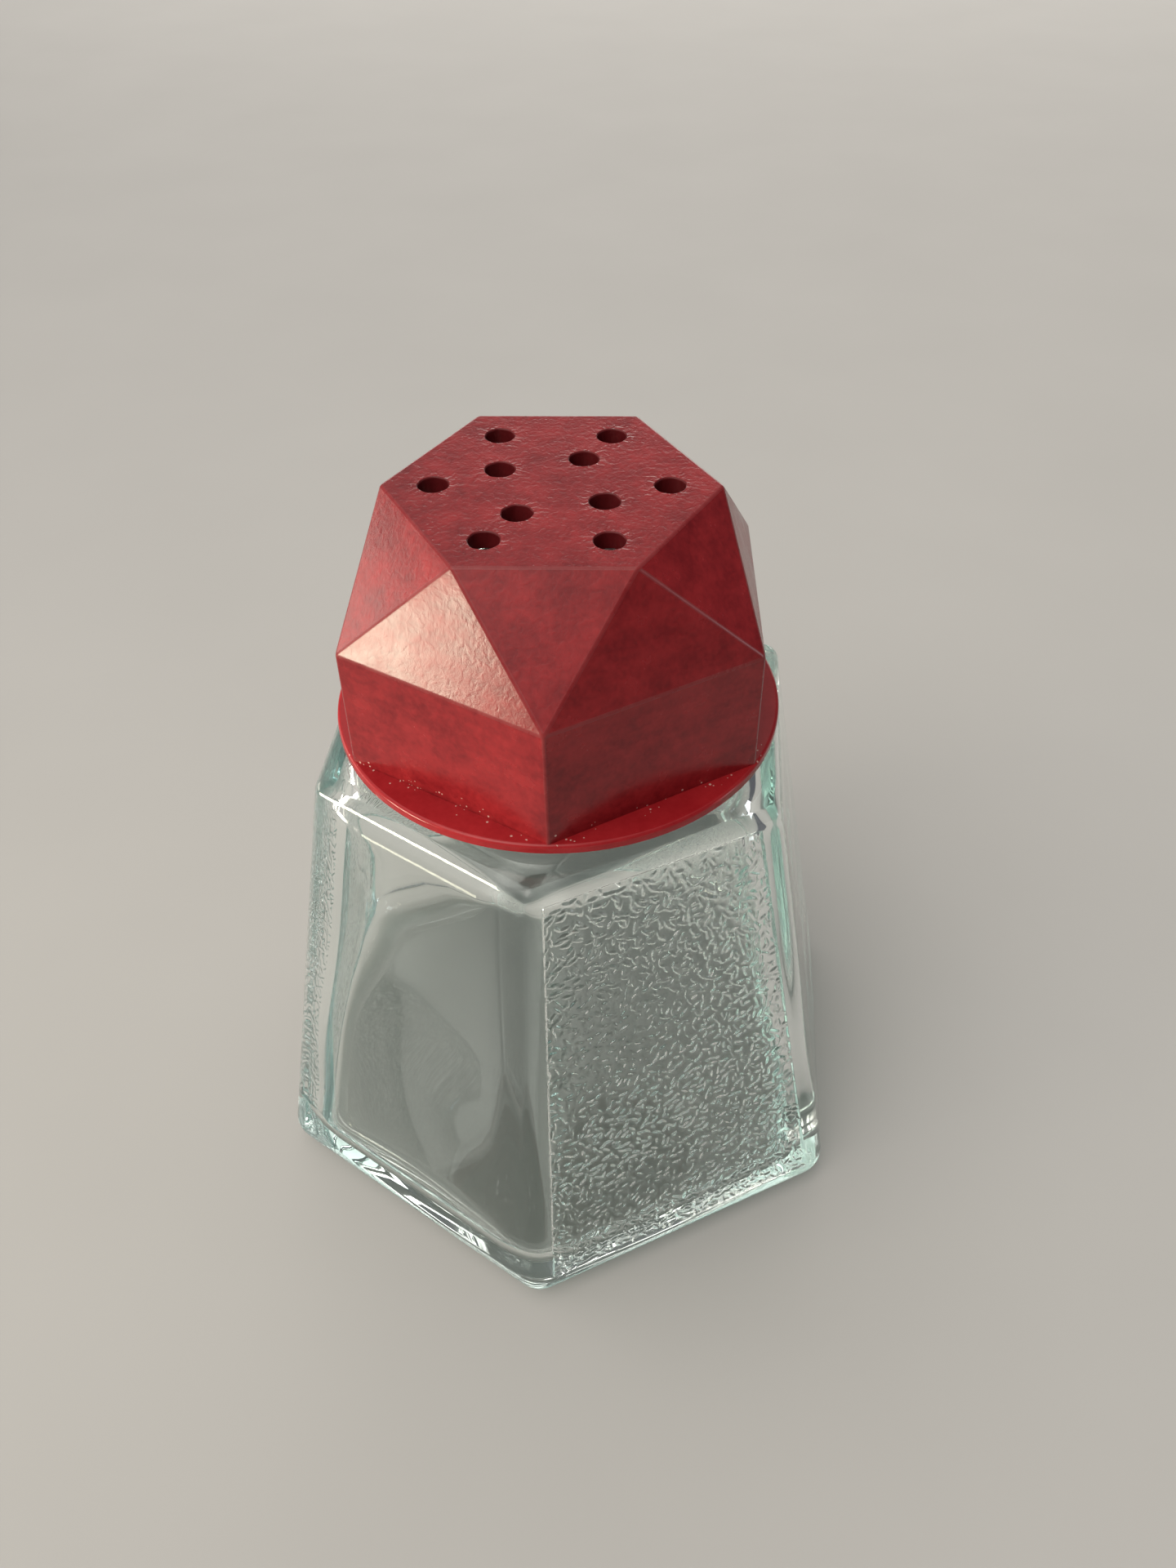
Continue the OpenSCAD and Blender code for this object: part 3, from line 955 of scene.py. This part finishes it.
# %% [markdown]
# ## The lid's blank
# The lid starts as a solid blank: the skirt and the crown of twelve facets, with a small bevel along every
# edge, as a mould has. The bevel gets the rubbed finish. All solids of the lid are made in millimetres, because
# booleans work best on sizes that aren't tiny, and the finished lid is scaled to metres.

# %% Faceted blank
SKIRT_ROOT = 0.7
EDGE_BEVEL = 0.28
BEVEL_STEPS = 3


def corners_at(radius, z, turn):
    """Six corners of a hexagon, as points."""
    angle = EDGE_ANGLE + LID_YAW + (np.arange(SIDES) + turn) * TURN
    return at_height(unit(angle) * radius, z)


def faceted_blank():
    """Skirt and crown as a closed solid, with bevelled edges."""
    low = corners_at(SKIRT_R, SKIRT_Z - SKIRT_ROOT, 0)
    ring, top = corners_at(RING_R, RING_Z, 0), corners_at(TOP_R, TOP_Z, 0.5)
    faces = [list(range(SIDES))[::-1], list(range(2 * SIDES, 3 * SIDES))]
    for k in range(SIDES):
        after = (k + 1) % SIDES
        faces.append([k, after, SIDES + after, SIDES + k])
        faces.append([SIDES + k, SIDES + after, 2 * SIDES + k])
        faces.append([SIDES + after, 2 * SIDES + after, 2 * SIDES + k])
    made = link_mesh("lid_body", np.concatenate((low, ring, top)), faces, facet_red)
    made.data.materials.append(edge_red)
    work = bmesh.new()
    work.from_mesh(made.data)
    edges = [e for e in work.edges if max(v.co.z for v in e.verts) > SKIRT_Z]
    bmesh.ops.bevel(work, geom=edges, offset=EDGE_BEVEL, segments=BEVEL_STEPS, profile=0.5,
                    affect="EDGES", material=1)
    work.to_mesh(made.data)
    work.free()
    return made


blank = faceted_blank()
print("the blank has", len(blank.data.polygons), "faces")

# %% [markdown]
# ## Flange, core and pins
# The flange, the mould's core and the pins for the holes are turned shapes, so one small lathe makes them all
# from rows of radius and height. The flange is a thin disc with a rounded upper edge.

# %% Lathe and flange
LATHE_STEPS = 180
FLANGE_STEPS = 240
FLANGE_EDGE_STEPS = 7


def turned(name, rows, material, steps=LATHE_STEPS, centre=(0.0, 0.0)):
    """A closed turned solid. Each row is a radius, or a radius for each angle, and a height, going up."""
    angle = np.arange(steps) * math.tau / steps
    rings = [at_height(unit(angle) * np.reshape(r, (-1, 1)) + centre, z) for r, z in rows]
    faces = [face for i in range(len(rows) - 1) for face in join_rings(i * steps, (i + 1) * steps, steps)]
    faces.append(list(range(steps))[::-1])
    faces.append(list(range((len(rows) - 1) * steps, len(rows) * steps)))
    return link_mesh(name, np.concatenate(rings), faces, material)


def flange_disc():
    """The round flange with its rounded upper edge."""
    rows = [(FLANGE_R - FLANGE_CHAMFER, FLANGE_Z), (FLANGE_R, FLANGE_Z + FLANGE_CHAMFER)]
    rows += rolled(FLANGE_R, SKIRT_Z, FLANGE_ROUND, np.linspace(0, QUARTER, FLANGE_EDGE_STEPS))
    return turned("flange_disc", rows, flange_red_painted_lit, steps=FLANGE_STEPS)


disc = flange_disc()
print("the flange is", 2 * FLANGE_R, "mm wide and", FLANGE_T, "mm thick")

# %% [markdown]
# The core leaves the bore with its thread, the seat for the ring and a dome. The pins are a little ragged, as
# worn ones are, and flare at the top, so that each hole gets a rolled rim. Tools end a little outside of what
# they cut, because a boolean is unsure about faces that lie in one plane.

# %% Core and pins
BORE_BEVEL = 0.6
CORE_PROUD = 0.4
LID_THREAD_ROW = 0.3
LID_THREAD_GAP = 0.2
SEAT_SLOPE = 0.01
DOME_STEPS, DOME_ANGLE = 9, QUARTER - 0.05
PIN_PROUD = 0.3
PIN_STEPS = 40
PIN_FLARE_STEPS = 4
PIN_RAGGED = 0.03
PIN_RAGGED_WAVES = (2, 3, 4, 5, 7)
PIN_SEED = 5


def inside_core():
    """What the mould's core leaves: bore with a thread, seat for the ring, and dome."""
    angle = np.arange(LATHE_STEPS) * math.tau / LATHE_STEPS
    rows = [(BORE_R + BORE_BEVEL + CORE_PROUD, FLANGE_Z - CORE_PROUD), (BORE_R, FLANGE_Z + BORE_BEVEL)]
    for z in np.arange(FLANGE_Z + 2 * BORE_BEVEL, SEAT_Z - LID_THREAD_GAP, LID_THREAD_ROW):
        rows.append((BORE_R - thread_relief(angle - LID_YAW, z, **LID_THREAD), z))
    rows += [(BORE_R, SEAT_Z), (DOME_R, SEAT_Z + SEAT_SLOPE)]
    rows += rolled(DOME_R, ROOF_Z, DOME_ROUND, np.linspace(0, DOME_ANGLE, DOME_STEPS))
    return turned("inside_core", rows, inside_red_painted_shade)


def hole_pins():
    """The pins that leave the holes: a little ragged, and flared at the top face."""
    draw = np.random.default_rng(PIN_SEED)
    angle = np.arange(PIN_STEPS) * math.tau / PIN_STEPS
    pins = []
    for count, ring_r, first in HOLE_RINGS:
        for k in range(count):
            centre = ring_r * unit(np.array(LID_YAW + first + k * math.tau / count))
            ragged = sum(draw.uniform(-PIN_RAGGED, PIN_RAGGED) * np.cos(n * angle + draw.uniform(0, math.tau))
                         for n in PIN_RAGGED_WAVES)
            rows = [(HOLE_R + ragged, ROOF_Z - DOME_ROUND), (HOLE_R + ragged, TOP_Z - HOLE_RIM)]
            for a in np.linspace(0.3, 1.2, PIN_FLARE_STEPS):
                flare = HOLE_RIM * (1 - math.cos(a))
                rows.append((HOLE_R + ragged + flare, TOP_Z - HOLE_RIM * (1 - math.sin(a))))
            rows.append((HOLE_R + ragged + HOLE_RIM, TOP_Z + PIN_PROUD))
            pins.append(turned("hole_pin", rows, inside_red_painted_shade, steps=PIN_STEPS, centre=centre))
    return pins


core, pins = inside_core(), hole_pins()
print("turned a core and", len(pins), "pins")

# %% [markdown]
# ## The lid
# Now the flange is joined to the blank, and the core and the pins are taken out, with exact booleans. Each cut
# carries the finish of its tool, so the inside and the holes come out dull and painted darker, as shade. Weighted
# normals keep the facets flat in the light although the bevels between them are smooth.

# %% Lid mesh
LID_SHARP = math.radians(38)
FACET_WEIGHT = 100


def carve(target, operation, tool):
    """Joins or cuts a solid and throws the tool away."""
    cut = target.modifiers.new("cut", "BOOLEAN")
    cut.operation, cut.object, cut.solver, cut.material_mode = operation, tool, "EXACT", "TRANSFER"
    result = bpy.data.meshes.new_from_object(target.evaluated_get(bpy.context.evaluated_depsgraph_get()))
    target.modifiers.clear()
    target.data = result
    bpy.data.objects.remove(tool)


def finish_lid(lid):
    """The moulded lid from its blank: flange joined, core and pins taken out."""
    carve(lid, "UNION", disc)
    for tool in (core, *pins):
        carve(lid, "DIFFERENCE", tool)
    lid.data.transform(Matrix.Scale(MM, 4))
    lid.data.shade_smooth()
    lid.data.set_sharp_from_angle(angle=LID_SHARP)
    weighted = lid.modifiers.new("flat_facets", "WEIGHTED_NORMAL")
    weighted.keep_sharp = True
    weighted.weight = FACET_WEIGHT
    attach(lid, "lid")
    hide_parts("shaker_lid")
    return lid


lid = finish_lid(blank)
print("the lid has", len(lid.data.polygons), "faces and", [m.name for m in lid.data.materials])

# %% [markdown]
# ## The sealing ring
# A soft pale ring lies on the glass lip, under the lid's seat. It is cut from sheet rubber, so its faces are
# matt and its edges are barely rounded. It shows only when the lid is off, or from below through the glass.

# %% Sheet rubber
RUBBER_SPECK_MM = 0.4
RUBBER_PEEL = 0.03 * MM


def sheet_rubber():
    """Talc-filled sheet rubber: matt, pale and finely speckled."""
    material, tree = new_material("sheet_rubber")
    place = add_node(tree, "TexCoord").outputs["Object"]
    speck = add_node(tree, "TexNoise", {"Vector": place, "Scale": per_metre(RUBBER_SPECK_MM), "Detail": 2.0})
    tone = add_node(tree, "Mix", {
        "Factor": speck, MIX_A: linear("#B4AC9C"), MIX_B: linear("#CFC8BA"),
    }, data_type="RGBA")
    bump = add_node(tree, "Bump", {"Height": speck, "Strength": 1.0, "Distance": RUBBER_PEEL})
    skin = add_node(tree, "BsdfPrincipled", {
        "Base Color": tone.outputs[MIX_RESULT], "Roughness": 0.75, "IOR": 1.5, "Normal": bump,
    })
    add_node(tree, "OutputMaterial", {"Surface": skin})
    return material


pale_rubber = sheet_rubber()
print("made", pale_rubber.name)

# %% [markdown]
# The ring is an outline of eight points, swept round the axis and closed on itself. A torus would be too round.

# %% Sealing ring
SEAL_EDGE = 0.15
SEAL_GAP = 0.3
SEAL_SHARP = math.radians(50)


def build_ring():
    """A flat ring with slightly rounded edges, swept round as one closed skin."""
    inner, outer = DOME_R, BORE_R - SEAL_GAP
    low, high = seal_low.z, seal_high.z
    outline = [
        (inner + SEAL_EDGE, low), (outer - SEAL_EDGE, low),
        (outer, low + SEAL_EDGE), (outer, high - SEAL_EDGE),
        (outer - SEAL_EDGE, high), (inner + SEAL_EDGE, high),
        (inner, high - SEAL_EDGE), (inner, low + SEAL_EDGE),
    ]
    angle = np.arange(LATHE_STEPS) * math.tau / LATHE_STEPS
    rings = [at_height(unit(angle) * r, z) for r, z in outline]
    faces = []
    for i in range(len(outline)):
        faces += join_rings(i * LATHE_STEPS, (i + 1) % len(outline) * LATHE_STEPS, LATHE_STEPS)
    ring = link_mesh("sealing_ring", np.concatenate(rings) * MM, faces, pale_rubber)
    ring.data.shade_smooth()
    ring.data.set_sharp_from_angle(angle=SEAL_SHARP)
    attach(ring, "seal")
    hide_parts("lip_seal")
    return ring


ring = build_ring()
print("the ring has", len(ring.data.polygons), "faces and is", round(seal_high.z - seal_low.z, 2), "mm thick")
